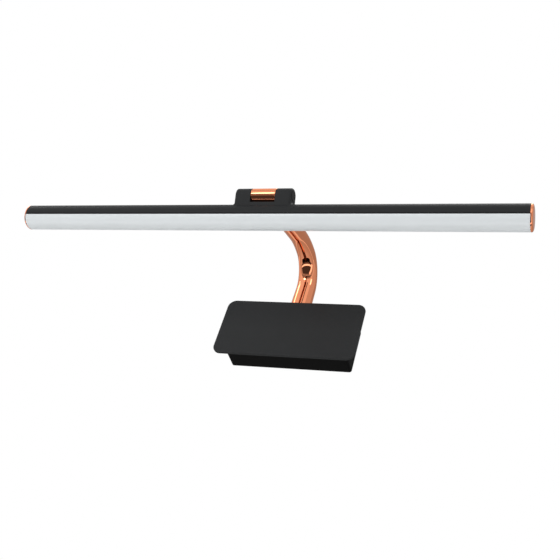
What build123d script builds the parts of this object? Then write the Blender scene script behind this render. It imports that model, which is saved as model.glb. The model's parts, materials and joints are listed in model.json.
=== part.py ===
from build123d import *
import math
import os

# Wall-mounted LED picture light. Millimetres, +Z up, X along the lamp bar, the wall is the plane y = 0
# and the light stands out from it towards -Y. The origin is the centre of the face that meets the wall.

# ---------------------------------------------------------------- driving dimensions
# wall box
BOX_WIDTH = 132.0
BOX_HEIGHT = 53.0
BOX_DEPTH = 32.0
BOX_CORNER = 2.5
SHEET = 1.2
COVER_WIDTH = 153.0
COVER_HEIGHT = 70.4
COVER_THICK = 2.2
COVER_CORNER = 9.0
COVER_EDGE = 0.6
TAB_X = 48.0
TAB_WIDTH = 12.0
TAB_FLANGE = 11.0
TAB_SCREW_SETBACK = 7.0
TAB_GRIP = 5.0

# fixing to the wall and cable entry
SLOT_SPACING = 80.0
SLOT_LENGTH = 10.0
SLOT_WIDTH = 5.0
SLOT_Z = 14.0
INLET_X = 23.0
INLET_Z = 10.0
INLET_HOLE = 13.0
INLET_BORE = 8.0
GROMMET_FLANGE = 17.0
GROMMET_LIP = 1.6

# arm
ARM_COVER_GAP = 0.3
ARM_BASE_RADIUS = 11.2
ARM_TIP_RADIUS = 7.3
ARM_WALL = 1.5
ARM_RISE = 36.4
SWAN_RADIUS = 30.4
SWAN_ANGLE = 90.0
BROW_RADIUS = 90.0
ARM_SLOPE = 23.0
ARM_RUN = 97.6
FOOT_HEIGHT = 10.0

# lamp bar
LAMP_TILT = 27.0
LAMP_LENGTH = 511.0
LAMP_SHIFT = -6.0
LAMP_RADIUS = 12.5
HOUSING_WALL = 1.6
SHELF_LEVEL = 3.0
SHELF_THICK = 1.5
DIFFUSER_WALL = 1.2
LIP_THICK = 0.9
LIP_HEIGHT = 2.0
HOOK_DEPTH = 0.4
HOOK_HEIGHT = 0.9
CAP_THICK = 2.4
CAP_EDGE = 2.0
CAP_SPIGOT = 6.0

# hinge
BARREL_COVER = 0.2
BARREL_LENGTH = 24.8
HINGE_GAP = 1.4
BRACKET_LENGTH = 57.0
BRACKET_CORNER = 1.2
BRACKET_FLARE = 2.2
BRACKET_FOOT = 0.8
TUBE_RADIUS = 3.5
TUBE_BORE = 4.6
WASHER_RADIUS = 6.4
WASHER_THICK = 0.9
PIVOT_NUT_FLATS = 9.0
PIVOT_NUT_THICK = 2.75
EAR_POCKET_RADIUS = 5.5
EAR_POCKET_DEPTH = 10.5
PLUG_THICK = 1.8
PLUG_PROUD = 0.3
BRACKET_WEB = 1.0
BARREL_EDGE = 0.4
BARREL_LEAD_HOLE = 6.0
TUBE_WINDOW = 3.2
LEAD_HOLE = 2.8
SCREW_DEPTH = 5.0
TUBE_OVERHANG = 0.5
PLUG_EDGE = 0.4

# light source
BOARD_WIDTH = 16.0
BOARD_THICK = 1.6
BOARD_MARGIN = 4.0
CHIP_LENGTH = 3.5
CHIP_WIDTH = 2.8
CHIP_HEIGHT = 0.8
CHIP_COUNT = 48
CHIP_PITCH = 10.0
BOARD_SCREW_X = (-230.0, -80.0, 80.0, 230.0)

# electrical gear in the box
DRIVER_LENGTH = 70.0
DRIVER_DEPTH = 20.0
DRIVER_HEIGHT = 21.0
DRIVER_X = -21.0
DRIVER_Z = -12.5
DRIVER_EDGE = 1.5
LUG_LENGTH = 6.0
LUG_THICK = 2.0
BOSS_RADIUS = 3.2
BOSS_HEIGHT = 3.0
TERMINAL_LENGTH = 24.0
TERMINAL_SIZE = 12.0
TERMINAL_X = 42.0
TERMINAL_WIRE_RADIUS = 1.6
TERMINAL_WIRE_OFFSET = 8.6
EARTH_X = 54.0
EARTH_Z = 10.0
LEAD_DIAMETER = 1.8
LEAD_BEND = 3.6
LEAD_JOINT = 0.3
LINK_DIAMETER = 4.0
LINK_LEVEL = 8.0

# fasteners: (thread radius, head radius, head height)
M2 = (1.0, 1.9, 1.3)
M3 = (1.5, 2.75, 1.8)
NIPPLE_RADIUS = 5.0
NIPPLE_BORE = 6.4
NIPPLE_TAIL = 2.0
ARM_NUT_FLATS = 14.0
ARM_NUT_THICK = 4.0
ARM_WASHER_RADIUS = 9.0
ARM_WASHER_THICK = 1.0
HEAD_ROUNDING = 0.4

# clearances
PRESS = 0.02
RUNNING = 0.05
SLIP = 0.1
LOOSE = 0.2
EAR_GAP = 0.15
POCKET_GAP = 0.3

# ---------------------------------------------------------------- derived places
COVER_BACK = -BOX_DEPTH
ARM_WALL_GAP = BOX_DEPTH - ARM_COVER_GAP - ARM_BASE_RADIUS
BARREL_RADIUS = ARM_TIP_RADIUS + BARREL_COVER
PIVOT_DROP = LAMP_RADIUS + HINGE_GAP + BARREL_RADIUS
BOX_TOP = BOX_HEIGHT / 2
TILT = math.radians(LAMP_TILT)
SWAN = math.radians(SWAN_ANGLE)
SLOPE = math.radians(ARM_SLOPE)
TURN = math.pi / 2 + SLOPE
ARM_BACK = (0, math.cos(SLOPE), math.sin(SLOPE))
LAMP_UP = (0, -math.sin(TILT), math.cos(TILT))
LAMP_BACK = (0, math.cos(TILT), math.sin(TILT))


def on_arc(centre, radius, angle):
    """Point on an arc in the YZ plane, the angle counted from the wall side (+Y) up and over."""
    return (0, centre[1] + radius * math.cos(angle), centre[2] + radius * math.sin(angle))


def arm_points():
    """Ends and middles of the arm's straight, tight bend, easy bend and straight run."""
    foot = (0, -ARM_WALL_GAP, BOX_TOP)
    rise = (0, -ARM_WALL_GAP, BOX_TOP + ARM_RISE)
    centre = (0, rise[1] - SWAN_RADIUS, rise[2])
    crest = on_arc(centre, SWAN_RADIUS, SWAN)
    centre_2 = on_arc(centre, SWAN_RADIUS - BROW_RADIUS, SWAN)
    brow = on_arc(centre_2, BROW_RADIUS, TURN)
    tip = tuple(b - ARM_RUN * d for b, d in zip(brow, ARM_BACK))
    middle_1 = on_arc(centre, SWAN_RADIUS, SWAN / 2)
    middle_2 = on_arc(centre_2, BROW_RADIUS, (SWAN + TURN) / 2)
    return foot, rise, middle_1, crest, middle_2, brow, tip


FOOT, RISE, BEND_1, CREST, BEND_2, BROW, PIVOT = arm_points()
BAR_AXIS = tuple(p - PIVOT_DROP * u for p, u in zip(PIVOT, LAMP_UP))

# Lamp frame: local x points back towards the wall, local y up to the hinge, local z along the bar.
LAMP = Plane(origin=BAR_AXIS, x_dir=LAMP_BACK, z_dir=(1, 0, 0)).location
TUBE_HALF = LAMP_LENGTH / 2 - CAP_THICK
INNER_RADIUS = LAMP_RADIUS - HOUSING_WALL
EAR_INNER = BARREL_LENGTH / 2 + EAR_GAP
EAR_OUTER = BRACKET_LENGTH / 2
POCKET_FLOOR = EAR_OUTER - EAR_POCKET_DEPTH
WASHER_FACE = BARREL_LENGTH / 2 + WASHER_THICK + RUNNING
NUT_FACE = POCKET_FLOOR + RUNNING
TUBE_END = NUT_FACE + PIVOT_NUT_THICK + TUBE_OVERHANG
LEAD_DROP_X = TUBE_END + LEAD_JOINT + LEAD_BEND
SCREW_X = (WASHER_FACE + POCKET_FLOOR) / 2
HEAD_LEVEL = math.sqrt(INNER_RADIUS ** 2 - M3[1] ** 2) - PRESS
BOSS_FACE = -SHEET - BOSS_HEIGHT
NIPPLE_BOTTOM = BOX_TOP - SHEET - ARM_WASHER_THICK - ARM_NUT_THICK - NIPPLE_TAIL
TAB_SCREW_Y = COVER_BACK + TAB_SCREW_SETBACK
LUG_X = [DRIVER_X + side * (DRIVER_LENGTH + LUG_LENGTH) / 2 for side in (-1, 1)]
GEAR_BOSSES = [(x, DRIVER_Z) for x in LUG_X] + [(TERMINAL_X, DRIVER_Z), (EARTH_X, EARTH_Z)]

SAVED = []


def save(name, *solids):
    """Write one node to parts/name.step, as a single solid or a group of separate ones."""
    shape = solids[0] if len(solids) == 1 else Compound(children=list(solids))
    shape.label = name
    export_step(shape, f"parts/{name}.step")
    SAVED.append(name)


def rod(radius, length, start=(0, 0, 0), direction=(0, 0, 1)):
    """Cylinder that begins at start and runs along direction."""
    return Plane(origin=start, z_dir=direction) * Cylinder(
        radius, length, align=(Align.CENTER, Align.CENTER, Align.MIN))


def block(x_range, y_range, z_range):
    """Box given by its lowest and highest corners."""
    spans = (x_range, y_range, z_range)
    size = [high - low for low, high in spans]
    low_corner = tuple(low for low, _ in spans)
    return Pos(*low_corner) * Box(*size, align=(Align.MIN,) * 3)


def screw(kind, shank, seat, direction):
    """Pan-head screw: seat is the point under the head, direction the way the shank points."""
    thread, head, height = kind
    shaft = rod(thread, shank, seat, direction)
    cap = rod(head, height, seat, tuple(-d for d in direction))
    rim = cap.edges().sort_by(lambda edge: -sum(c * d for c, d in zip(edge.center(), direction)))[-1]
    return shaft + fillet(rim, height * HEAD_ROUNDING)


def nut(flats, thick, bore, start, direction):
    """Hexagon nut that begins at start and runs along direction."""
    hexagon = RegularPolygon(flats / 2, 6, major_radius=False) - Circle(bore)
    return Plane(origin=start, z_dir=direction) * extrude(hexagon, thick)


def ring(outer, inner, thick, start, direction):
    """Flat washer or bush that begins at start and runs along direction."""
    return Plane(origin=start, z_dir=direction) * extrude(Circle(outer) - Circle(inner), thick)


def lamp_section(sketch, half_length, middle=0.0):
    """Section drawn in the lamp frame, carried along it to half_length each side of middle."""
    return LAMP * Pos(0, 0, middle) * extrude(sketch, half_length, both=True)


def lamp_point(back, up, along):
    """Row-frame point from lamp-frame distances."""
    return tuple(
        o + back * b + up * u + along * a
        for o, b, u, a in zip(BAR_AXIS, LAMP_BACK, LAMP_UP, (1, 0, 0)))


LAMP_DOWN = tuple(-u for u in LAMP_UP)


# ---------------------------------------------------------------- wall box
def base_tray():
    """Folded steel tray, open to the front: back, four walls, gear bosses and all its holes."""
    outline = RectangleRounded(BOX_WIDTH, BOX_HEIGHT, BOX_CORNER)
    hollow = RectangleRounded(BOX_WIDTH - 2 * SHEET, BOX_HEIGHT - 2 * SHEET, BOX_CORNER - SHEET)
    front = Plane(origin=(0, 0, 0), x_dir=(1, 0, 0), z_dir=(0, -1, 0))
    tray = front * extrude(outline, BOX_DEPTH)
    tray -= front.offset(SHEET) * extrude(hollow, BOX_DEPTH)
    for x, z in GEAR_BOSSES:
        tray += rod(BOSS_RADIUS, BOSS_HEIGHT + SHEET / 2, (x, -SHEET / 2, z), (0, -1, 0))
    for x, z in GEAR_BOSSES:
        tray -= rod(M3[0], BOSS_HEIGHT, (x, -SHEET, z), (0, -1, 0))
    for side in (-1, 1):
        slot = Pos(side * SLOT_SPACING / 2, 0, SLOT_Z) * (
            Rot(90, 0, 0) * extrude(SlotOverall(SLOT_LENGTH, SLOT_WIDTH), 2 * SHEET, both=True))
        tray -= slot
        tray -= rod(M3[0] + SLIP, 2 * SHEET, (side * TAB_X, TAB_SCREW_Y, BOX_TOP - 2 * SHEET + SLIP))
    tray -= rod(INLET_HOLE / 2, 3 * SHEET, (INLET_X, SHEET, INLET_Z), (0, -1, 0))
    tray -= rod(NIPPLE_RADIUS + SLIP, 3 * SHEET, (0, -ARM_WALL_GAP, BOX_TOP - 2 * SHEET))
    return tray


def front_cover():
    """Pressed plate with round corners and an eased front edge."""
    front = Plane(origin=(0, COVER_BACK, 0), x_dir=(1, 0, 0), z_dir=(0, -1, 0))
    plate = front * extrude(RectangleRounded(COVER_WIDTH, COVER_HEIGHT, COVER_CORNER), COVER_THICK)
    return fillet(plate.faces().sort_by(Axis.Y)[0].edges(), COVER_EDGE)


def cover_tab(side, up):
    """Angle welded to the back of the cover, with a flange that slides inside the tray's wall."""
    wall = BOX_TOP - SHEET - SLIP
    x_range = (side * TAB_X - TAB_WIDTH / 2, side * TAB_X + TAB_WIDTH / 2)
    flange = block(x_range, (COVER_BACK, COVER_BACK + TAB_FLANGE), (wall - SHEET, wall))
    foot = block(x_range, (COVER_BACK, COVER_BACK + SHEET), (wall - TAB_FLANGE, wall))
    tab = flange + foot
    if up < 0:
        return mirror(tab, Plane.XY)
    return tab - rod(M3[0], 3 * SHEET, (side * TAB_X, TAB_SCREW_Y, wall - 2 * SHEET))


def led_driver():
    """Potted driver case with a screw lug at each end."""
    half_z = DRIVER_HEIGHT / 2
    case = block((DRIVER_X - DRIVER_LENGTH / 2, DRIVER_X + DRIVER_LENGTH / 2),
                 (BOSS_FACE - DRIVER_DEPTH, BOSS_FACE), (DRIVER_Z - half_z, DRIVER_Z + half_z))
    case = fillet(case.edges().filter_by(Axis.X), DRIVER_EDGE)
    for x in LUG_X:
        lug = block((x - LUG_LENGTH / 2, x + LUG_LENGTH / 2), (BOSS_FACE - LUG_THICK, BOSS_FACE),
                    (DRIVER_Z - LUG_LENGTH, DRIVER_Z + LUG_LENGTH))
        case += lug - rod(M3[0] + SLIP, 3 * LUG_THICK, (x, BOSS_FACE + LUG_THICK, DRIVER_Z), (0, -1, 0))
    return case


def terminal_block():
    """Three-way terminal block with a sunk screw hole in the middle."""
    half = TERMINAL_SIZE / 2
    body = block((TERMINAL_X - TERMINAL_LENGTH / 2, TERMINAL_X + TERMINAL_LENGTH / 2),
                 (BOSS_FACE - TERMINAL_SIZE, BOSS_FACE), (DRIVER_Z - half, DRIVER_Z + half))
    body -= rod(M3[0] + SLIP, 2 * TERMINAL_SIZE, (TERMINAL_X, 0, DRIVER_Z), (0, -1, 0))
    sink = BOSS_FACE - TERMINAL_SIZE / 2
    body -= rod(M3[1] + LOOSE, TERMINAL_SIZE, (TERMINAL_X, sink, DRIVER_Z), (0, -1, 0))
    for side in (-1, 1):
        entry = (TERMINAL_X + side * TERMINAL_WIRE_OFFSET, sink, DRIVER_Z)
        body -= rod(TERMINAL_WIRE_RADIUS, TERMINAL_SIZE, entry, (0, -1, 0))
    return body


def inlet_grommet():
    """Rubber grommet in the cable entry: a neck in the sheet between the wall and an inner flange."""
    start = (INLET_X, 0, INLET_Z)
    neck = ring(INLET_HOLE / 2 - PRESS, INLET_BORE / 2, SHEET + GROMMET_LIP, start, (0, -1, 0))
    flange = ring(GROMMET_FLANGE / 2, INLET_BORE / 2, GROMMET_LIP, (INLET_X, -SHEET, INLET_Z), (0, -1, 0))
    return neck + flange


def link_lead():
    """Short lead from the terminal block to the driver's input end."""
    driver_end = DRIVER_X + DRIVER_LENGTH / 2
    length = TERMINAL_X - TERMINAL_LENGTH / 2 - driver_end
    return rod(LINK_DIAMETER / 2, length, (driver_end, BOSS_FACE - LINK_LEVEL, DRIVER_Z), (1, 0, 0))


# ---------------------------------------------------------------- arm
def arm_path():
    """Centre line of the arm from the box top to the hinge axis."""
    return Wire([
        Line(FOOT, RISE), ThreePointArc(RISE, BEND_1, CREST), ThreePointArc(CREST, BEND_2, BROW),
        Line(BROW, PIVOT)])


def tapered(base, tip):
    """Round bar along the arm's centre line whose radius falls evenly from base to tip."""
    path = arm_path()
    shares = [0.0]
    for edge in path.edges():
        shares.append(shares[-1] + edge.length / path.length)
    sections = [
        Plane(origin=path @ share, z_dir=path % share) * Circle(base + (tip - base) * share)
        for share in shares]
    return sweep(sections, path=path, multisection=True)


def arm():
    """Tapered swan-neck tube, its end shaped to the hinge barrel."""
    tube = tapered(ARM_BASE_RADIUS, ARM_TIP_RADIUS) - tapered(
        ARM_BASE_RADIUS - ARM_WALL, ARM_TIP_RADIUS - ARM_WALL)
    start = (-BARREL_LENGTH, PIVOT[1], PIVOT[2])
    return tube - rod(BARREL_RADIUS + PRESS, 2 * BARREL_LENGTH, start, (1, 0, 0))


def arm_foot():
    """Threaded plug brazed into the arm's lower end."""
    share = FOOT_HEIGHT / arm_path().length
    top_radius = ARM_BASE_RADIUS - ARM_WALL - share * (ARM_BASE_RADIUS - ARM_TIP_RADIUS)
    return ring(top_radius - PRESS, NIPPLE_RADIUS + PRESS, FOOT_HEIGHT, FOOT, (0, 0, 1))


def arm_nipple():
    """Hollow threaded nipple that clamps the arm to the box and lets the lead through."""
    start = (0, -ARM_WALL_GAP, NIPPLE_BOTTOM)
    return ring(NIPPLE_RADIUS, NIPPLE_BORE / 2, BOX_TOP + FOOT_HEIGHT - NIPPLE_BOTTOM, start, (0, 0, 1))


def arm_lead():
    """Lamp lead from the driver, up the arm and along the hollow hinge tube to its right-hand end."""
    radius = LEAD_BEND
    centre = tuple(p + radius * (b + a) for p, b, a in zip(PIVOT, ARM_BACK, (1, 0, 0)))
    start = tuple(p + radius * b for p, b in zip(PIVOT, ARM_BACK))
    end = (radius, PIVOT[1], PIVOT[2])
    half = radius * math.sqrt(0.5)
    middle = tuple(c - half * (b + a) for c, b, a in zip(centre, ARM_BACK, (1, 0, 0)))
    driver_top = (0, -ARM_WALL_GAP, DRIVER_Z + DRIVER_HEIGHT / 2)
    path = Wire([
        Line(driver_top, RISE), ThreePointArc(RISE, BEND_1, CREST), ThreePointArc(CREST, BEND_2, BROW),
        Line(BROW, start), ThreePointArc(start, middle, end), Line(end, (TUBE_END, PIVOT[1], PIVOT[2]))])
    return sweep(Plane(origin=driver_top) * Circle(LEAD_DIAMETER / 2), path=path)


# ---------------------------------------------------------------- hinge
def along_hinge(x):
    """Point on the hinge axis."""
    return (x, PIVOT[1], PIVOT[2])


def hinge_barrel():
    """Barrel brazed across the arm's end, with a bore for the hinge tube and a hole for the lead."""
    barrel = rod(BARREL_RADIUS, BARREL_LENGTH, along_hinge(-BARREL_LENGTH / 2), (1, 0, 0))
    barrel = chamfer(barrel.edges().filter_by(GeomType.CIRCLE), BARREL_EDGE)
    barrel -= rod(TUBE_RADIUS + PRESS, 2 * BARREL_LENGTH, along_hinge(-BARREL_LENGTH), (1, 0, 0))
    return barrel - rod(BARREL_LEAD_HOLE / 2, 2 * BARREL_RADIUS, PIVOT, ARM_BACK)


def pivot_tube():
    """Hollow hinge pin fixed in the barrel, with a window where the lead turns into it."""
    tube = ring(TUBE_RADIUS, TUBE_BORE / 2, 2 * TUBE_END, along_hinge(-TUBE_END), (1, 0, 0))
    return tube - rod(TUBE_WINDOW / 2, 2 * TUBE_RADIUS, PIVOT, ARM_BACK)


def pivot_nut(side):
    """Lock nut on one end of the hinge tube, in the ear's pocket."""
    bore = TUBE_RADIUS + PRESS
    return nut(PIVOT_NUT_FLATS, PIVOT_NUT_THICK, bore, along_hinge(side * NUT_FACE), (side, 0, 0))


def friction_washer(side):
    """Friction washer between the barrel's end and one ear."""
    start = along_hinge(side * BARREL_LENGTH / 2)
    return ring(WASHER_RADIUS, TUBE_RADIUS + PRESS, WASHER_THICK, start, (side, 0, 0))


def lamp_bracket():
    """Two-eared block on the lamp's back, hollowed for washers, nuts, screws and the lead."""
    foot_end = EAR_OUTER + BRACKET_FLARE
    foot_top = LAMP_RADIUS + BRACKET_FOOT
    flare_top = foot_top + BRACKET_FLARE
    top = PIVOT_DROP + BARREL_RADIUS
    corner = BRACKET_CORNER
    flare_cut = BRACKET_FLARE * (1 - math.sqrt(0.5))
    corner_cut = corner * (1 - math.sqrt(0.5))
    half_outline = make_face([
        Line((0, 0), (foot_end, 0)), Line((foot_end, 0), (foot_end, foot_top)),
        ThreePointArc((foot_end, foot_top), (EAR_OUTER + flare_cut, foot_top + flare_cut),
                      (EAR_OUTER, flare_top)),
        Line((EAR_OUTER, flare_top), (EAR_OUTER, top - corner)),
        ThreePointArc((EAR_OUTER, top - corner), (EAR_OUTER - corner_cut, top - corner_cut),
                      (EAR_OUTER - corner, top)),
        Line((EAR_OUTER - corner, top), (0, top)), Line((0, top), (0, 0))])
    outline = half_outline + mirror(half_outline, Plane.YZ)
    face_plane = Plane(origin=BAR_AXIS, x_dir=(1, 0, 0), z_dir=tuple(-b for b in LAMP_BACK))
    profile = Pos(0, PIVOT_DROP) * Circle(BARREL_RADIUS)
    profile += Pos(0, PIVOT_DROP / 2) * Rectangle(2 * BARREL_RADIUS, PIVOT_DROP)
    bracket = lamp_section(profile, foot_end + 1) & (face_plane * extrude(outline, LAMP_RADIUS, both=True))
    bracket -= lamp_section(Circle(LAMP_RADIUS + PRESS), foot_end + 2)
    over_web = Pos(0, LAMP_RADIUS + BRACKET_WEB + top / 2) * Rectangle(2 * top, top)
    wall_side = Pos(top / 2, top / 2) * Rectangle(top, 2 * top)
    bracket -= lamp_section(over_web + wall_side, EAR_INNER)
    bracket -= rod(TUBE_RADIUS + RUNNING, BRACKET_LENGTH, along_hinge(-EAR_OUTER), (1, 0, 0))
    washer_pocket = WASHER_RADIUS + POCKET_GAP
    for side in (-1, 1):
        bracket -= rod(washer_pocket, WASHER_FACE, along_hinge(0), (side, 0, 0))
        pocket = along_hinge(side * POCKET_FLOOR)
        bracket -= rod(EAR_POCKET_RADIUS, BRACKET_LENGTH, pocket, (side, 0, 0))
        bracket -= rod(M3[0], SCREW_DEPTH, lamp_point(0, LAMP_RADIUS - 1, side * SCREW_X), LAMP_UP)
    return bracket - rod(LEAD_HOLE / 2, PIVOT_DROP, lamp_point(0, 0, LEAD_DROP_X), LAMP_UP)


def ear_plug(side):
    """Cap pressed into one ear's pocket."""
    start = along_hinge(side * (EAR_OUTER + PLUG_PROUD - PLUG_THICK))
    plug = rod(EAR_POCKET_RADIUS - PRESS, PLUG_THICK, start, (side, 0, 0))
    rim = plug.edges().filter_by(GeomType.CIRCLE).sort_by(Axis.X)[-1 if side > 0 else 0]
    return chamfer(rim, PLUG_EDGE)


def bracket_screw(side):
    """Screw from inside the housing into one ear."""
    seat = lamp_point(0, HEAD_LEVEL, side * SCREW_X)
    return screw(M3, LAMP_RADIUS - 1 + SCREW_DEPTH - HEAD_LEVEL - SLIP, seat, LAMP_UP)


def lamp_lead():
    """Lead from the hinge tube's end down through the ear to the back of the light board."""
    x_start = LEAD_DROP_X - LEAD_BEND
    half = LEAD_BEND * math.sqrt(0.5)
    start = lamp_point(0, PIVOT_DROP, x_start)
    middle = lamp_point(0, PIVOT_DROP - LEAD_BEND + half, x_start + half)
    bend_end = lamp_point(0, PIVOT_DROP - LEAD_BEND, LEAD_DROP_X)
    path = Wire([ThreePointArc(start, middle, bend_end),
                 Line(bend_end, lamp_point(0, SHELF_LEVEL, LEAD_DROP_X))])
    return sweep(Plane(origin=start, z_dir=(1, 0, 0)) * Circle(LEAD_DIAMETER / 2), path=path)


# ---------------------------------------------------------------- lamp bar
def band(back_low, back_high, up_low, up_high):
    """Rectangle in the lamp's section, given by its edges."""
    centre = Pos((back_low + back_high) / 2, (up_low + up_high) / 2)
    return centre * Rectangle(back_high - back_low, up_high - up_low)


LIP_OUT = LAMP_RADIUS - DIFFUSER_WALL - SLIP
LIP_IN = LIP_OUT - LIP_THICK
UPPER = band(-2 * LAMP_RADIUS, 2 * LAMP_RADIUS, 0, 2 * LAMP_RADIUS)
LOWER = band(-2 * LAMP_RADIUS, 2 * LAMP_RADIUS, -2 * LAMP_RADIUS, 0)


def lamp_housing():
    """Extruded half-round back with the board's shelf and the diffuser's snap grooves."""
    section = (Circle(LAMP_RADIUS) - Circle(INNER_RADIUS)) & UPPER
    shelf_top = SHELF_LEVEL + SHELF_THICK
    shelf = band(-LAMP_RADIUS, LAMP_RADIUS, SHELF_LEVEL, shelf_top) & Circle(INNER_RADIUS + PRESS)
    section += shelf
    seat = LIP_OUT + SLIP
    section -= band(-seat, seat, 0, LIP_HEIGHT + SLIP)
    groove = seat + HOOK_DEPTH
    section -= band(-groove, groove, LIP_HEIGHT - HOOK_HEIGHT - SLIP, LIP_HEIGHT + SLIP)
    housing = lamp_section(section, TUBE_HALF, LAMP_SHIFT)
    for side in (-1, 1):
        centre = lamp_point(0, 0, side * SCREW_X)
        housing -= rod(M3[0] + SLIP, 2 * LAMP_RADIUS, centre, LAMP_UP)
        housing -= rod(M3[1] + LOOSE, SHELF_LEVEL + 2 * SHELF_THICK, centre, LAMP_UP)
    for x in BOARD_SCREW_X:
        housing -= rod(M2[0], SHELF_LEVEL + 2 * SHELF_THICK, lamp_point(0, 0, LAMP_SHIFT + x), LAMP_UP)
    return housing - rod(LEAD_HOLE / 2, 2 * LAMP_RADIUS, lamp_point(0, 0, LEAD_DROP_X), LAMP_UP)


def diffuser():
    """Opal half-round cover with hooked lips that snap into the housing."""
    section = (Circle(LAMP_RADIUS) - Circle(LAMP_RADIUS - DIFFUSER_WALL)) & LOWER
    for side in (-1, 1):
        rail = band(LIP_IN, LIP_OUT, -2 * LIP_THICK, LIP_HEIGHT)
        rail += band(LIP_IN, LIP_OUT + DIFFUSER_WALL / 2, -2 * LIP_THICK, 0)
        rail += band(LIP_IN, LIP_OUT + HOOK_DEPTH, LIP_HEIGHT - HOOK_HEIGHT, LIP_HEIGHT)
        section += rail if side > 0 else mirror(rail, Plane.YZ)
    return lamp_section(section, TUBE_HALF, LAMP_SHIFT)


def led_board():
    """Long aluminium-backed board under the shelf."""
    half = BOARD_WIDTH / 2
    section = band(-half, half, SHELF_LEVEL - BOARD_THICK, SHELF_LEVEL)
    board = lamp_section(section, TUBE_HALF - BOARD_MARGIN, LAMP_SHIFT)
    for x in BOARD_SCREW_X:
        board -= rod(M2[0] + SLIP, 2 * LAMP_RADIUS, lamp_point(0, 0, LAMP_SHIFT + x), LAMP_UP)
    return board


def led_chips():
    """Row of light-emitting chips on the board's face."""
    level = SHELF_LEVEL - BOARD_THICK - CHIP_HEIGHT
    first = LAMP_SHIFT - CHIP_PITCH * (CHIP_COUNT - 1) / 2
    chip = Box(CHIP_WIDTH, CHIP_HEIGHT, CHIP_LENGTH, align=(Align.CENTER, Align.MIN, Align.CENTER))
    return [LAMP * Pos(0, level, first + CHIP_PITCH * i) * chip for i in range(CHIP_COUNT)]


def board_screws():
    """Small screws that hold the board to the shelf."""
    level = SHELF_LEVEL - BOARD_THICK
    length = BOARD_THICK + SHELF_THICK
    return [screw(M2, length, lamp_point(0, level, LAMP_SHIFT + x), LAMP_UP) for x in BOARD_SCREW_X]


def end_cap(side):
    """Rounded metal cap with a plug inside the housing and a rib inside the diffuser."""
    start = lamp_point(0, 0, LAMP_SHIFT + side * TUBE_HALF)
    cap = rod(LAMP_RADIUS, CAP_THICK, start, (side, 0, 0))
    rim = cap.edges().filter_by(GeomType.CIRCLE).sort_by(Axis.X)[-1 if side > 0 else 0]
    cap = fillet(rim, CAP_EDGE)
    above_shelf = SHELF_LEVEL + SHELF_THICK + SLIP
    plug = Circle(INNER_RADIUS - SLIP) & band(-LAMP_RADIUS, LAMP_RADIUS, above_shelf, LAMP_RADIUS)
    rib_radius = LAMP_RADIUS - DIFFUSER_WALL - SLIP
    rib = Circle(rib_radius) - Circle(rib_radius - DIFFUSER_WALL)
    rib &= band(-LAMP_RADIUS, LAMP_RADIUS, -LAMP_RADIUS, -3 * LIP_THICK)
    depth = CAP_SPIGOT + CAP_THICK / 2
    middle = LAMP_SHIFT + side * (TUBE_HALF + CAP_THICK / 2 - depth / 2)
    return cap + LAMP * Pos(0, 0, middle) * extrude(plug + rib, depth / 2, both=True)


def main():
    """Build every node."""
    os.makedirs("parts", exist_ok=True)
    sides = (-1, 1)
    save("base_tray", base_tray())
    save("front_cover", front_cover())
    save("cover_tabs", *[cover_tab(side, up) for side in sides for up in sides])
    save("cover_screws", *[
        screw(M3, TAB_GRIP, (side * TAB_X, TAB_SCREW_Y, BOX_TOP), (0, 0, -1)) for side in sides])
    save("led_driver", led_driver())
    save("driver_screws", *[
        screw(M3, LUG_THICK + BOSS_HEIGHT - LOOSE, (x, BOSS_FACE - LUG_THICK, DRIVER_Z), (0, 1, 0))
        for x in LUG_X])
    save("terminal_block", terminal_block())
    save("terminal_screw", screw(
        M3, TERMINAL_SIZE / 2 + BOSS_HEIGHT - LOOSE,
        (TERMINAL_X, BOSS_FACE - TERMINAL_SIZE / 2, DRIVER_Z), (0, 1, 0)))
    save("earth_screw", screw(M3, BOSS_HEIGHT - LOOSE, (EARTH_X, BOSS_FACE, EARTH_Z), (0, 1, 0)))
    save("inlet_grommet", inlet_grommet())
    save("link_lead", link_lead())
    save("arm", arm())
    save("arm_foot", arm_foot())
    save("arm_nipple", arm_nipple())
    under_top = BOX_TOP - SHEET
    washer_start = (0, -ARM_WALL_GAP, under_top)
    save("arm_washer", ring(
        ARM_WASHER_RADIUS, NIPPLE_RADIUS + SLIP, ARM_WASHER_THICK, washer_start, (0, 0, -1)))
    nut_start = (0, -ARM_WALL_GAP, under_top - ARM_WASHER_THICK)
    save("arm_nut", nut(ARM_NUT_FLATS, ARM_NUT_THICK, NIPPLE_RADIUS + PRESS, nut_start, (0, 0, -1)))
    save("arm_lead", arm_lead())
    save("hinge_barrel", hinge_barrel())
    save("pivot_tube", pivot_tube())
    save("pivot_nuts", *[pivot_nut(side) for side in sides])
    save("friction_washers", *[friction_washer(side) for side in sides])
    save("lamp_bracket", lamp_bracket())
    save("bracket_screws", *[bracket_screw(side) for side in sides])
    save("ear_plugs", *[ear_plug(side) for side in sides])
    save("lamp_lead", lamp_lead())
    save("lamp_housing", lamp_housing())
    save("diffuser", diffuser())
    save("led_board", led_board())
    save("led_chips", *led_chips())
    save("board_screws", *board_screws())
    save("left_end_cap", end_cap(-1))
    save("right_end_cap", end_cap(1))
    print(f"{len(SAVED)} nodes, hinge axis at {PIVOT}, bar axis at {BAR_AXIS}")


main()
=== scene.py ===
"""Looks of a wall-mounted picture light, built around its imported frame. Metres, row frame."""
import json
import logging
import math
from dataclasses import dataclass
from enum import Enum
from typing import Any

import bmesh
import bpy
import numpy as np
from bpy.types import ID, Material, Mesh, Node, NodeSocket, NodeTree, Object, World
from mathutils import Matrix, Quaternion, Vector

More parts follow.
